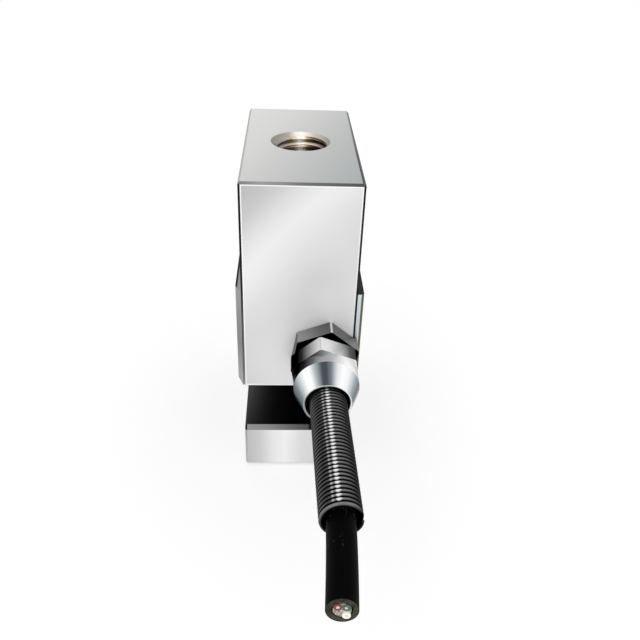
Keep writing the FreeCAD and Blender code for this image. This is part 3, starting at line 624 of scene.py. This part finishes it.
def helical_wall(floor, mouth, way):
    """The M12 thread as one wall: radius = minor + depth * V of the turn, against angle and height.

    The rows follow the helix; heights outside the bore are held at its ends. The countersink's
    cone, 45 degrees to the mouth, takes over where it is wider than the thread.
    """
    angle = np.linspace(0, 2 * math.pi, THREAD_COLUMNS, endpoint=False)[None, :]
    length = abs(mouth - floor)
    rows = int((length / THREAD_PITCH + 1) * ROWS_PER_TURN) + 1
    steps = np.arange(rows)[:, None] / ROWS_PER_TURN * THREAD_PITCH
    height = np.clip(steps - THREAD_PITCH * angle / (2 * math.pi), 0, length)
    turn = ((height + THREAD_PITCH * angle / (2 * math.pi)) / THREAD_PITCH) % 1.0
    # the V is cut off flat at the crest and at the root
    groove = np.clip(V_STEEPNESS * (1 - 2 * np.abs(turn - 0.5)) - V_START, 0, 1)
    radius = THREAD_MINOR + (THREAD_MAJOR - THREAD_MINOR) * groove
    radius = np.maximum(radius, SINK_RADIUS - (length - height))
    radius = np.minimum(radius, SINK_RADIUS)
    return np.stack([radius * np.cos(angle), radius * np.sin(angle) * way,
                     floor + way * height + 0 * angle], axis=-1)


def open_rings(name, rings, material):
    """A wall of rings with no ends, facing inwards, that rides on the cell."""
    mesh = bpy.data.meshes.new(name)
    mesh.from_pydata((rings * MM).reshape(-1, 3).tolist(), [],
                     [face[::-1] for face in grid_faces(*rings.shape[:2])])
    mesh.shade_smooth()
    mesh.set_sharp_from_angle(angle=math.radians(28))
    return fasten(name, mesh, material)


def drilled_block():
    """The block's own form with both bores opened to the thread's roots, so the thread shows."""
    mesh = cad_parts["s_body"].data.copy()
    form = bmesh.new()
    form.from_mesh(mesh)
    bmesh.ops.remove_doubles(form, verts=form.verts, dist=1e-6)
    form.to_mesh(mesh)
    form.free()
    drilled = bpy.data.objects.new("s_block", mesh)
    scene.collection.objects.link(drilled)
    angle = np.linspace(0, 2 * math.pi, THREAD_COLUMNS, endpoint=False)
    ends = [list(range(THREAD_COLUMNS))[::-1], list(range(THREAD_COLUMNS, 2 * THREAD_COLUMNS))]
    drills = []
    for low, high in ((-1.0, ARM + 1.0), (HEIGHT - ARM - 1.0, HEIGHT + 1.0)):
        rings = [np.stack([DRILLED_RADIUS * np.cos(angle), DRILLED_RADIUS * np.sin(angle),
                           height + 0 * angle], axis=-1) for height in (low, high)]
        drill_mesh = bpy.data.meshes.new("thread_drill")
        drill_mesh.from_pydata((np.vstack(rings) * MM).tolist(), [],
                               grid_faces(2, THREAD_COLUMNS) + ends)
        drills.append(bpy.data.objects.new("thread_drill", drill_mesh))
        scene.collection.objects.link(drills[-1])
        cut = drilled.modifiers.new("thread_drill", "BOOLEAN")
        cut.operation = "DIFFERENCE"
        cut.solver = "EXACT"
        cut.object = drills[-1]
    bpy.context.view_layer.update()
    evaluated = drilled.evaluated_get(bpy.context.evaluated_depsgraph_get())
    finished = bpy.data.meshes.new_from_object(evaluated)
    drilled.modifiers.clear()
    drilled.data = finished
    for drill in drills:
        bpy.data.objects.remove(drill)
    return drilled


block = drilled_block()
block.data.materials.clear()
block.data.materials.append(polished_nickel_steel())
block.data.shade_smooth()
block.data.set_sharp_from_angle(angle=math.radians(20))
# the ground faces are flat to their edges; only the rounded corners are shaded smooth
directions = np.empty(len(block.data.polygons) * 3)
block.data.polygons.foreach_get("normal", directions)
rounded = np.abs(directions.reshape(-1, 3)).max(axis=1) < 0.9999
block.data.polygons.foreach_set("use_smooth", rounded)
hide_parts("s_body")
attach(block, "root")

cut_steel = freshly_cut_thread()
open_rings("upper_thread", helical_wall(HEIGHT - ARM, HEIGHT, 1), cut_steel)
open_rings("lower_thread", helical_wall(ARM, 0.0, -1), cut_steel)


# ---------------------------------------------------------------- side covers and their seals
# Stainless plates over the gauge pockets, blanked and bevelled; the left one's front edge is cut
# back at a slant. A rubber ring under each one seals the pocket.
COVER_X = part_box("cover_left")[0].x / MM


def stamped_stainless():
    """Satin stainless with painted reflections: the edge that faces the front is painted light, the
    bevels painted olive, and the faces that look up painted dark.
    """
    material, tree, shader = new_material("stamped_stainless")
    x, y, z, nx, ny, nz = place_and_normal(tree)
    # painted reflections: a bright band on the slant, greys on the left plate's slanted edge, olive
    # on the bevels and a light front edge
    colour = tone(tree, weighted(tree, y, -0.8, z, 1.0), 20, 75, (0.0, "#b9bab8"), (0.4, "#d6d7d6"),
                  (0.6, "#e6e6e6"), (1.0, "#c4c5c4"))
    slanted = both_true(tree, band(tree, nx, -0.97, -0.2), band(tree, ny, -ANY, -0.2))
    colour = over(tree, slanted, colour, tone(
        tree, z, 25, 51, (0.0, "#8e8e8e"), (0.2, "#7a7a7a"), (0.45, "#565656"), (0.7, "#686868"),
        (1.0, "#828282")))
    bevel = both_true(tree, band(tree, nx, 0.2, 0.97), band(tree, ny, -ANY, -0.2))
    colour = over(tree, bevel, colour, linear("#55533f"))
    edge = both_true(tree, band(tree, ny, -ANY, -0.97), band(tree, x, 0, ANY))
    colour = over(tree, edge, colour, linear("#cdd7da"))
    # painted dark reflection on the faces that look up, but for a grey strip on the left plate
    ledge = band(tree, nz, 0.3, ANY)
    colour = over(tree, ledge, colour, tone(
        tree, x, COVER_X, -HALF_X, (0.0, "#0a0a09"), (0.3, "#0a0a09"), (0.34, "#8f8f8e"),
        (1.0, "#a2a2a2")))
    colour = over(tree, both_true(tree, ledge, band(tree, x, 0, ANY)), colour, linear("#0a0a09"))
    metal_shader(tree, shader, colour, 0.34, 0.5, 0.005, (1, 1, 8))
    return material


def moulded_rubber():
    """Moulded black rubber: matt, with a fine even grain from the mould."""
    material, tree, shader = new_material("moulded_rubber_black")
    black = linear("#141414")
    paler = [c * 1.5 for c in black[:3]] + [1]
    tree.links.new(over(tree, grain_of(tree, 0.3), black, paler), shader.inputs["Base Color"])
    shader.inputs["Roughness"].default_value = 0.7
    return material


def dress(material, *nodes):
    """Gives carried-over solids their finish."""
    for name in nodes:
        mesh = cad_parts[name].data
        mesh.materials.clear()
        mesh.materials.append(material)


dress(stamped_stainless(), "cover_left", "cover_right")
dress(moulded_rubber(), "cover_seal_left", "cover_seal_right", "gland_seal_ring", "gland_grommet")


# ---------------------------------------------------------------- gland and cap nut
# Both are turned from 14 mm hexagon brass bar and nickel plated: the gland is screwed into the
# block, the nut squeezes the grommet and its cone holds the spring's flared end.
FRONT = block_low.y / MM
FLATS = 14.0
CORNER = 8.0
CROWN = 0.12
BAR_COLUMNS = 360
SLOPE_STEP = 0.06
GLAND_TURN, NUT_TURN = 20.6, 39.7
BORE, STUB, SOCKET = 3.2, 4.5, 3.8
STUB_DEPTH, GLAND_HEX, SOCKET_START, GLAND_END = 7.5, 4.2, 5.6, 11.5
NUT_THREAD, NUT_START, NUT_HEX_END = 4.6, 5.9, 10.5
COLLAR, COLLAR_END = FLATS / 2 - 0.001, 13.4
CHAMBER, CHAMBER_START, CHAMBER_END = 5.25, 11.8, 14.9
MOUTH = 4.55
ROLLED_LIP = [(5.15, 18.58), (5.02, 18.74), (4.85, 18.8), (4.68, 18.74), (MOUTH, 18.35)]


def hexagon_bar(corners, turn_degrees):
    """Rings of a turned hexagon bar: radius = the smaller of the turned profile and the hexagon.

    The profile is (radius, distance out of the block) corners; the hexagon's own radius at an
    angle is half the flats over the cosine of the angle from the nearest flat's middle.
    """
    angle = np.linspace(0, 2 * math.pi, BAR_COLUMNS, endpoint=False) + math.radians(turn_degrees)
    from_flat = (angle - math.radians(turn_degrees)) % (math.pi / 3) - math.pi / 6
    hexagon = FLATS / 2 / np.cos(from_flat)
    radii, outs = [], []
    for (r0, o0), (r1, o1) in zip(corners, corners[1:]):
        # where a slope crosses the flats it is cut fine, so that their bounds come out curved
        pieces = 1
        if max(r0, r1) > FLATS / 2 - 0.1:
            pieces = max(1, int(abs(r1 - r0) / SLOPE_STEP))
        share = np.arange(pieces) / pieces
        radii.append(r0 + (r1 - r0) * share)
        outs.append(o0 + (o1 - o0) * share)
    radii = np.concatenate(radii + [[corners[-1][0]]])[:, None]
    outs = np.concatenate(outs + [[corners[-1][1]]])[:, None]
    radius = np.minimum(radii, hexagon[None, :])
    return np.stack([AXIS_X + radius * np.cos(angle), FRONT - outs + 0 * radius,
                     AXIS_Z + radius * np.sin(angle)], axis=-1) * MM


def turned_ring(name, corners, turn_degrees, material):
    """A closed piece round the gland's axis whose profile runs out along it and back inside."""
    rings = hexagon_bar(corners + corners[:1], turn_degrees)
    rows, columns = rings.shape[:2]
    mesh = bpy.data.meshes.new(name)
    mesh.from_pydata(rings.reshape(-1, 3).tolist(), [], grid_faces(rows, columns))
    form = bmesh.new()
    form.from_mesh(mesh)
    bmesh.ops.remove_doubles(form, verts=form.verts, dist=1e-7)
    bmesh.ops.recalc_face_normals(form, faces=form.faces)
    form.to_mesh(mesh)
    form.free()
    mesh.shade_smooth()
    mesh.set_sharp_from_angle(angle=math.radians(25))
    return fasten(name, mesh, material)


def around_axis(tree, x, z):
    """The angle round an axis from straight down, as a share of a turn, through +X, up and -X."""
    left = add_node(tree, "ShaderNodeMath", {0: x, 1: -1.0}, operation="MULTIPLY")
    angle = add_node(tree, "ShaderNodeMath", {0: left.outputs[0], 1: z}, operation="ARCTAN2")
    share = add_node(tree, "ShaderNodeMapRange", {0: angle.outputs[0], 1: -math.pi, 2: math.pi})
    return share.outputs[0]


def nickel_plated_gland():
    """Bright nickel on brass bar with painted reflections: satin grey flats and a painted
    highlight, a bright line, on the corner nearest the top; the neck is painted shade.
    """
    material, tree, shader = new_material("nickel_plated_gland")
    x, _, z, _, ny, _ = place_and_normal(tree, (AXIS_X, 0, AXIS_Z))
    turn = around_axis(tree, x, z)
    # painted reflections on the flats, and a painted highlight on the corner nearest the top
    colour = tone(tree, turn, 0, 1, (0.0, "#5a5a58"), (0.14, "#6a6a68"), (0.307, "#8a8a8a"),
                  (0.44, "#8c8c8c"), (0.4685, "#868686"), (0.4700, "#f6f6f6"), (0.4780, "#f6f6f6"),
                  (0.4795, "#6e6e6e"), (0.53, "#7c7c7c"), (0.60, "#9c9c9c"), (0.640, "#a8a8a8"),
                  (0.642, "#6e6e6e"), (0.75, "#7e7e7e"), (0.9, "#6a6a6a"), (1.0, "#5a5a58"))
    # painted shade: the neck and the faces turned towards the nut are near black
    neck = add_node(tree, "ShaderNodeMath", {0: band(tree, distance(tree, x, z), -ANY, STUB + 0.1),
                                             1: band(tree, ny, -ANY, -0.6)}, operation="MAXIMUM")
    colour = over(tree, neck.outputs[0], colour, tone(
        tree, turn, 0, 1, (0.0, "#050505"), (0.5, "#030303"), (0.56, "#1c1c1c"), (0.64, "#3c3c3c"),
        (0.72, "#2a2a2a"), (1.0, "#050505")))
    metal_shader(tree, shader, colour, 0.28, 0.35, 0.006, (6, 1, 1), rim=0.5)
    return material


def nickel_plated_nut():
    """Bright nickel, mirror turned: painted reflections give the hexagon, the collar and the cone
    stripes of the dark and the bright side of a room that follow the turning.
    """
    material, tree, shader = new_material("nickel_plated_nut")
    x, y, z, _, ny, _ = place_and_normal(tree, (AXIS_X, FRONT, AXIS_Z))
    turn = around_axis(tree, x, z)
    # painted reflections: the hexagon, the collar and the cone carry stripes of light and dark that
    # follow the turning
    hexagon = tone(tree, turn, 0, 1, (0.0, "#202020"), (0.19, "#2a2a2a"), (0.24, "#050505"),
                   (0.33, "#0c0c0c"), (0.385, "#5c5c5c"), (0.44, "#d8d8d8"), (0.49, "#ffffff"),
                   (0.5245, "#ffffff"), (0.5265, "#b0b0b0"), (0.5285, "#ffffff"), (0.55, "#e8e8e8"),
                   (0.59, "#a2a2a2"), (0.63, "#3a3a3a"), (0.66, "#060606"), (0.85, "#000000"),
                   (1.0, "#202020"))
    collar = tone(tree, turn, 0, 1, (0.0, "#404040"), (0.12, "#9a9a9a"), (0.25, "#ffffff"),
                  (0.40, "#ffffff"), (0.46, "#d0d0d0"), (0.52, "#a8a8a8"), (0.57, "#6a6a6a"),
                  (0.62, "#262626"), (0.68, "#050505"), (0.85, "#000000"), (1.0, "#404040"))
    cone = tone(tree, turn, 0, 1, (0.0, "#c8ccce"), (0.14, "#ffffff"), (0.22, "#dfe3e4"),
                (0.28, "#87929a"), (0.33, "#a9b2b6"), (0.38, "#f4f6f6"), (0.42, "#ffffff"),
                (0.45, "#e4e7e8"), (0.482, "#7d888c"), (0.51, "#454f53"), (0.533, "#4a5458"),
                (0.57, "#b4bcbf"), (0.60, "#ffffff"), (0.635, "#ffffff"), (0.68, "#b9c1c4"),
                (0.72, "#838e93"), (0.75, "#7b868b"), (0.80, "#77838a"), (0.88, "#f0f2f2"),
                (1.0, "#c8ccce"))
    colour = over(tree, band(tree, y, -COLLAR_END, -NUT_HEX_END + 0.04), hexagon, collar)
    # painted reflection on the ledge between the hexagon and the collar
    ledge = both_true(tree, band(tree, y, -NUT_HEX_END - 0.1, -NUT_HEX_END + 0.1),
                      band(tree, ny, -ANY, -0.9))
    colour = over(tree, ledge, colour, tone(
        tree, turn, 0, 1, (0.3, "#ffffff"), (0.46, "#f4f4f4"), (0.5, "#d8d8d8"), (0.55, "#9a9a9a"),
        (0.6, "#3a3a3a"), (0.66, "#050505"), (1.0, "#404040")))
    colour = over(tree, band(tree, y, -ANY, -COLLAR_END), colour, cone)
    # painted reflection on the rolled lip
    lip = both_true(tree, band(tree, y, -ANY, -18.55), band(tree, ny, -ANY, -0.75))
    colour = over(tree, lip, colour, tone(
        tree, turn, 0, 1, (0.0, "#8e8e8e"), (0.2, "#e9e9e9"), (0.5, "#d5d8d9"), (0.62, "#b9b9b9"),
        (0.8, "#9a9a9a"), (1.0, "#8e8e8e")))
    # inside the mouth: painted shade with bands of painted light
    inside = both_true(tree, band(tree, distance(tree, x, z), -ANY, MOUTH + 0.01),
                       band(tree, y, -ANY, -12))
    colour = over(tree, inside, colour, tone(
        tree, turn, 0, 1, (0.0, "#6e6e6e"), (0.12, "#1a1a1a"), (0.3, "#020202"), (0.55, "#0a0a0a"),
        (0.65, "#8c8c8c"), (0.75, "#f4f4f4"), (0.88, "#ffffff"), (1.0, "#8e8e8e")))
    metal_shader(tree, shader, colour, 0.24, 0.25, 0.003, (1, 12, 1), rim=0.45)
    return material


gland = turned_ring("gland_body_turned", [
    (BORE, -STUB_DEPTH), (STUB, -STUB_DEPTH), (STUB, 0.0), (CORNER, 0.0),
    (CORNER, GLAND_HEX - CROWN / 2), (CORNER - CROWN, GLAND_HEX), (STUB, GLAND_HEX),
    (STUB, GLAND_END), (SOCKET, GLAND_END), (SOCKET, SOCKET_START), (BORE, SOCKET_START)],
    GLAND_TURN, nickel_plated_gland())
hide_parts("gland_body")
nut = turned_ring("cap_nut_turned", [
    (NUT_THREAD, NUT_START), (CORNER - CROWN, NUT_START), (CORNER, NUT_START + CROWN / 2),
    (CORNER, NUT_HEX_END - CROWN / 2), (CORNER - CROWN, NUT_HEX_END), (COLLAR, NUT_HEX_END),
    (COLLAR, COLLAR_END), *ROLLED_LIP, (MOUTH, CHAMBER_END), (CHAMBER, CHAMBER_END),
    (CHAMBER, CHAMBER_START), (NUT_THREAD, CHAMBER_START)],
    NUT_TURN, nickel_plated_nut())
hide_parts("cap_nut")


# ---------------------------------------------------------------- spring
# Hardened music wire, close wound over the cable in 38 turns; its first turns flare out to sit
# behind the nut's cone. It keeps the cable from kinking at the gland.
SPRING_RADIUS = 3.9
WIRE = 0.8
COIL_PITCH = 0.93
COILS = 38
FLARE_RADIUS = 4.95
FLARE_COILS = 1.5
LEAN = math.radians(1.4)
SEAT_OUT = 12.8
STEPS_PER_COIL = 48
WIRE_SIDES = 12
LAST_TURN_SHARE, LAST_TURN_FADE = 0.95, 8


def wound_wire():
    """Rings of the wire: axis point + (coil radius + wire cos s) outwards + wire sin s along.

    The coil radius falls from the flare to the spring's over the first turns, and the axis leans
    to +X. Returns the rings, then for each point its share of a turn round the axis, how far
    out it lies on the wire's section, and whether it is on the last turn, which is painted lighter.
    """
    turns = np.linspace(0, COILS, COILS * STEPS_PER_COIL + 1)[:, None]
    section = np.linspace(0, 2 * math.pi, WIRE_SIDES, endpoint=False)[None, :]
    wire = WIRE / 2
    opened = np.clip(1 - turns / FLARE_COILS, 0, 1)
    coil = SPRING_RADIUS - wire + (FLARE_RADIUS - SPRING_RADIUS) * opened
    lift = FLARE_RADIUS * math.sin(LEAN)
    radius = coil + wire * np.cos(section)
    out = wire + lift + COIL_PITCH * turns + wire * np.sin(section)
    angle = 2 * math.pi * turns
    side = radius * np.cos(angle)
    x = AXIS_X + side * math.cos(LEAN) + out * math.sin(LEAN)
    y = FRONT - SEAT_OUT + side * math.sin(LEAN) - out * math.cos(LEAN)
    z = AXIS_Z + radius * np.sin(angle) + 0 * section
    share = (angle / (2 * math.pi) % 1.0) + 0 * section
    ending = np.clip((turns - COILS + LAST_TURN_SHARE) * LAST_TURN_FADE, 0, 1) + 0 * section
    return np.stack([x, y, z], axis=-1) * MM, share, np.cos(section) + 0 * turns, ending


def music_wire():
    """Drawn and blued spring steel: dark, with painted shade between the coils and a painted
    highlight, one bright line of light along the coils' crests.
    """
    material, tree, shader = new_material("music_wire")
    around = add_node(tree, "ShaderNodeAttribute", attribute_name="around").outputs["Fac"]
    crest = add_node(tree, "ShaderNodeAttribute", attribute_name="crest").outputs["Fac"]
    lit = tone(tree, around, 0, 1, (0.0, "#8a8a8a"), (0.04, "#5a5a5a"), (0.12, "#4a4a4a"),
               (0.2, "#747474"), (0.245, "#8c8c8c"), (0.256, "#ffffff"), (0.283, "#ffffff"),
               (0.291, "#6a6a6a"), (0.305, "#9a9a9a"), (0.315, "#d0d0d0"), (0.325, "#5c5c5c"),
               (0.36, "#505050"), (0.44, "#727272"), (0.5, "#6a6a6a"), (0.75, "#3c3c3c"),
               (1.0, "#8a8a8a"))
    coil_gap_shade = tone(tree, crest, -1, 1, (0.0, "#030303"), (0.6, "#050505"), (0.8, "#0c0c0c"),
                (1.0, "#161616"))
    # painted highlight: the crests are painted lit; the brightest line reaches further down between
    # the coils
    height = add_node(tree, "ShaderNodeMapRange", {0: crest, 1: 0.66, 2: 1.0})
    shallow = add_node(tree, "ShaderNodeMapRange", {0: crest, 1: 0.3, 2: 1.0})
    beam = tone(tree, around, 0.25, 0.29, (0.1, "#000000"), (0.4, "#ffffff"), (0.6, "#ffffff"),
                (0.9, "#000000"))
    glare = both_true(tree, shallow.outputs[0], beam)
    reached = add_node(tree, "ShaderNodeMath", {0: height.outputs[0], 1: glare},
                       operation="MAXIMUM")
    colour = over(tree, reached.outputs[0], coil_gap_shade, lit)
    # the last turn is painted lighter, brightest at its crest: a painted highlight
    scuffs_and_lit_last_turn = add_node(tree, "ShaderNodeAttribute", attribute_name="ending").outputs["Fac"]
    colour = over(tree, scuffs_and_lit_last_turn, colour, tone(tree, crest, -1, 1, (0.0, "#0a0a0a"), (0.45, "#161616"),
                                           (0.7, "#4c4c4c"), (1.0, "#808080")))
    metal_shader(tree, shader, colour, 0.35, 0.3, 0.006, rim=0.3)
    return material


rings, around, crest, ending = wound_wire()
spring = new_piece("strain_relief_coil", rings, music_wire(), 60.0,
                   {"around": around, "crest": crest, "ending": ending})
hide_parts("strain_relief_spring")


# ---------------------------------------------------------------- what is sealed in the pockets
# Foil gauges at 45 degrees on the web, laminate boards on soldered pillars, flat copper leads,
# two chip resistors that trim the bridge, and a soft coat; the covers hide them.


def plain_finish(name, hex_colour, roughness, metallic, grain_mm):
    """A worked surface whose tone varies a little over a grain of a given size."""
    material, tree, shader = new_material(name)
    darker = [c * 0.7 for c in linear(hex_colour)[:3]] + [1]
    colour = over(tree, grain_of(tree, grain_mm), darker, linear(hex_colour))
    tree.links.new(colour, shader.inputs["Base Color"])
    shader.inputs["Roughness"].default_value = roughness
    shader.inputs["Metallic"].default_value = metallic
    return material


dress(plain_finish("polyimide_foil", "#c58a3a", 0.4, 0.0, 0.5), "strain_gauge_left_upper",
      "strain_gauge_left_lower", "strain_gauge_right_upper", "strain_gauge_right_lower")
dress(plain_finish("glass_epoxy_laminate", "#2f6b45", 0.45, 0.0, 0.8), "terminal_board_left",
      "terminal_board_right")
dress(plain_finish("soft_solder", "#c9c9c6", 0.35, 1.0, 0.4), "board_pillars_left",
      "board_pillars_right", "solder_posts")
dress(plain_finish("annealed_copper", "#c88a62", 0.35, 1.0, 0.3), "gauge_leads_left",
      "gauge_leads_right", "crossover_leads")
dress(plain_finish("fired_alumina", "#2b2b30", 0.5, 0.0, 0.3), "trim_resistor_zero",
      "trim_resistor_span")
dress(plain_finish("poured_silicone", "#d9d8cf", 0.5, 0.0, 2.0), "potting_left", "potting_right")
dress(plain_finish("pressed_brass_washer", "#b9b7ae", 0.35, 1.0, 0.6), "slip_washer")
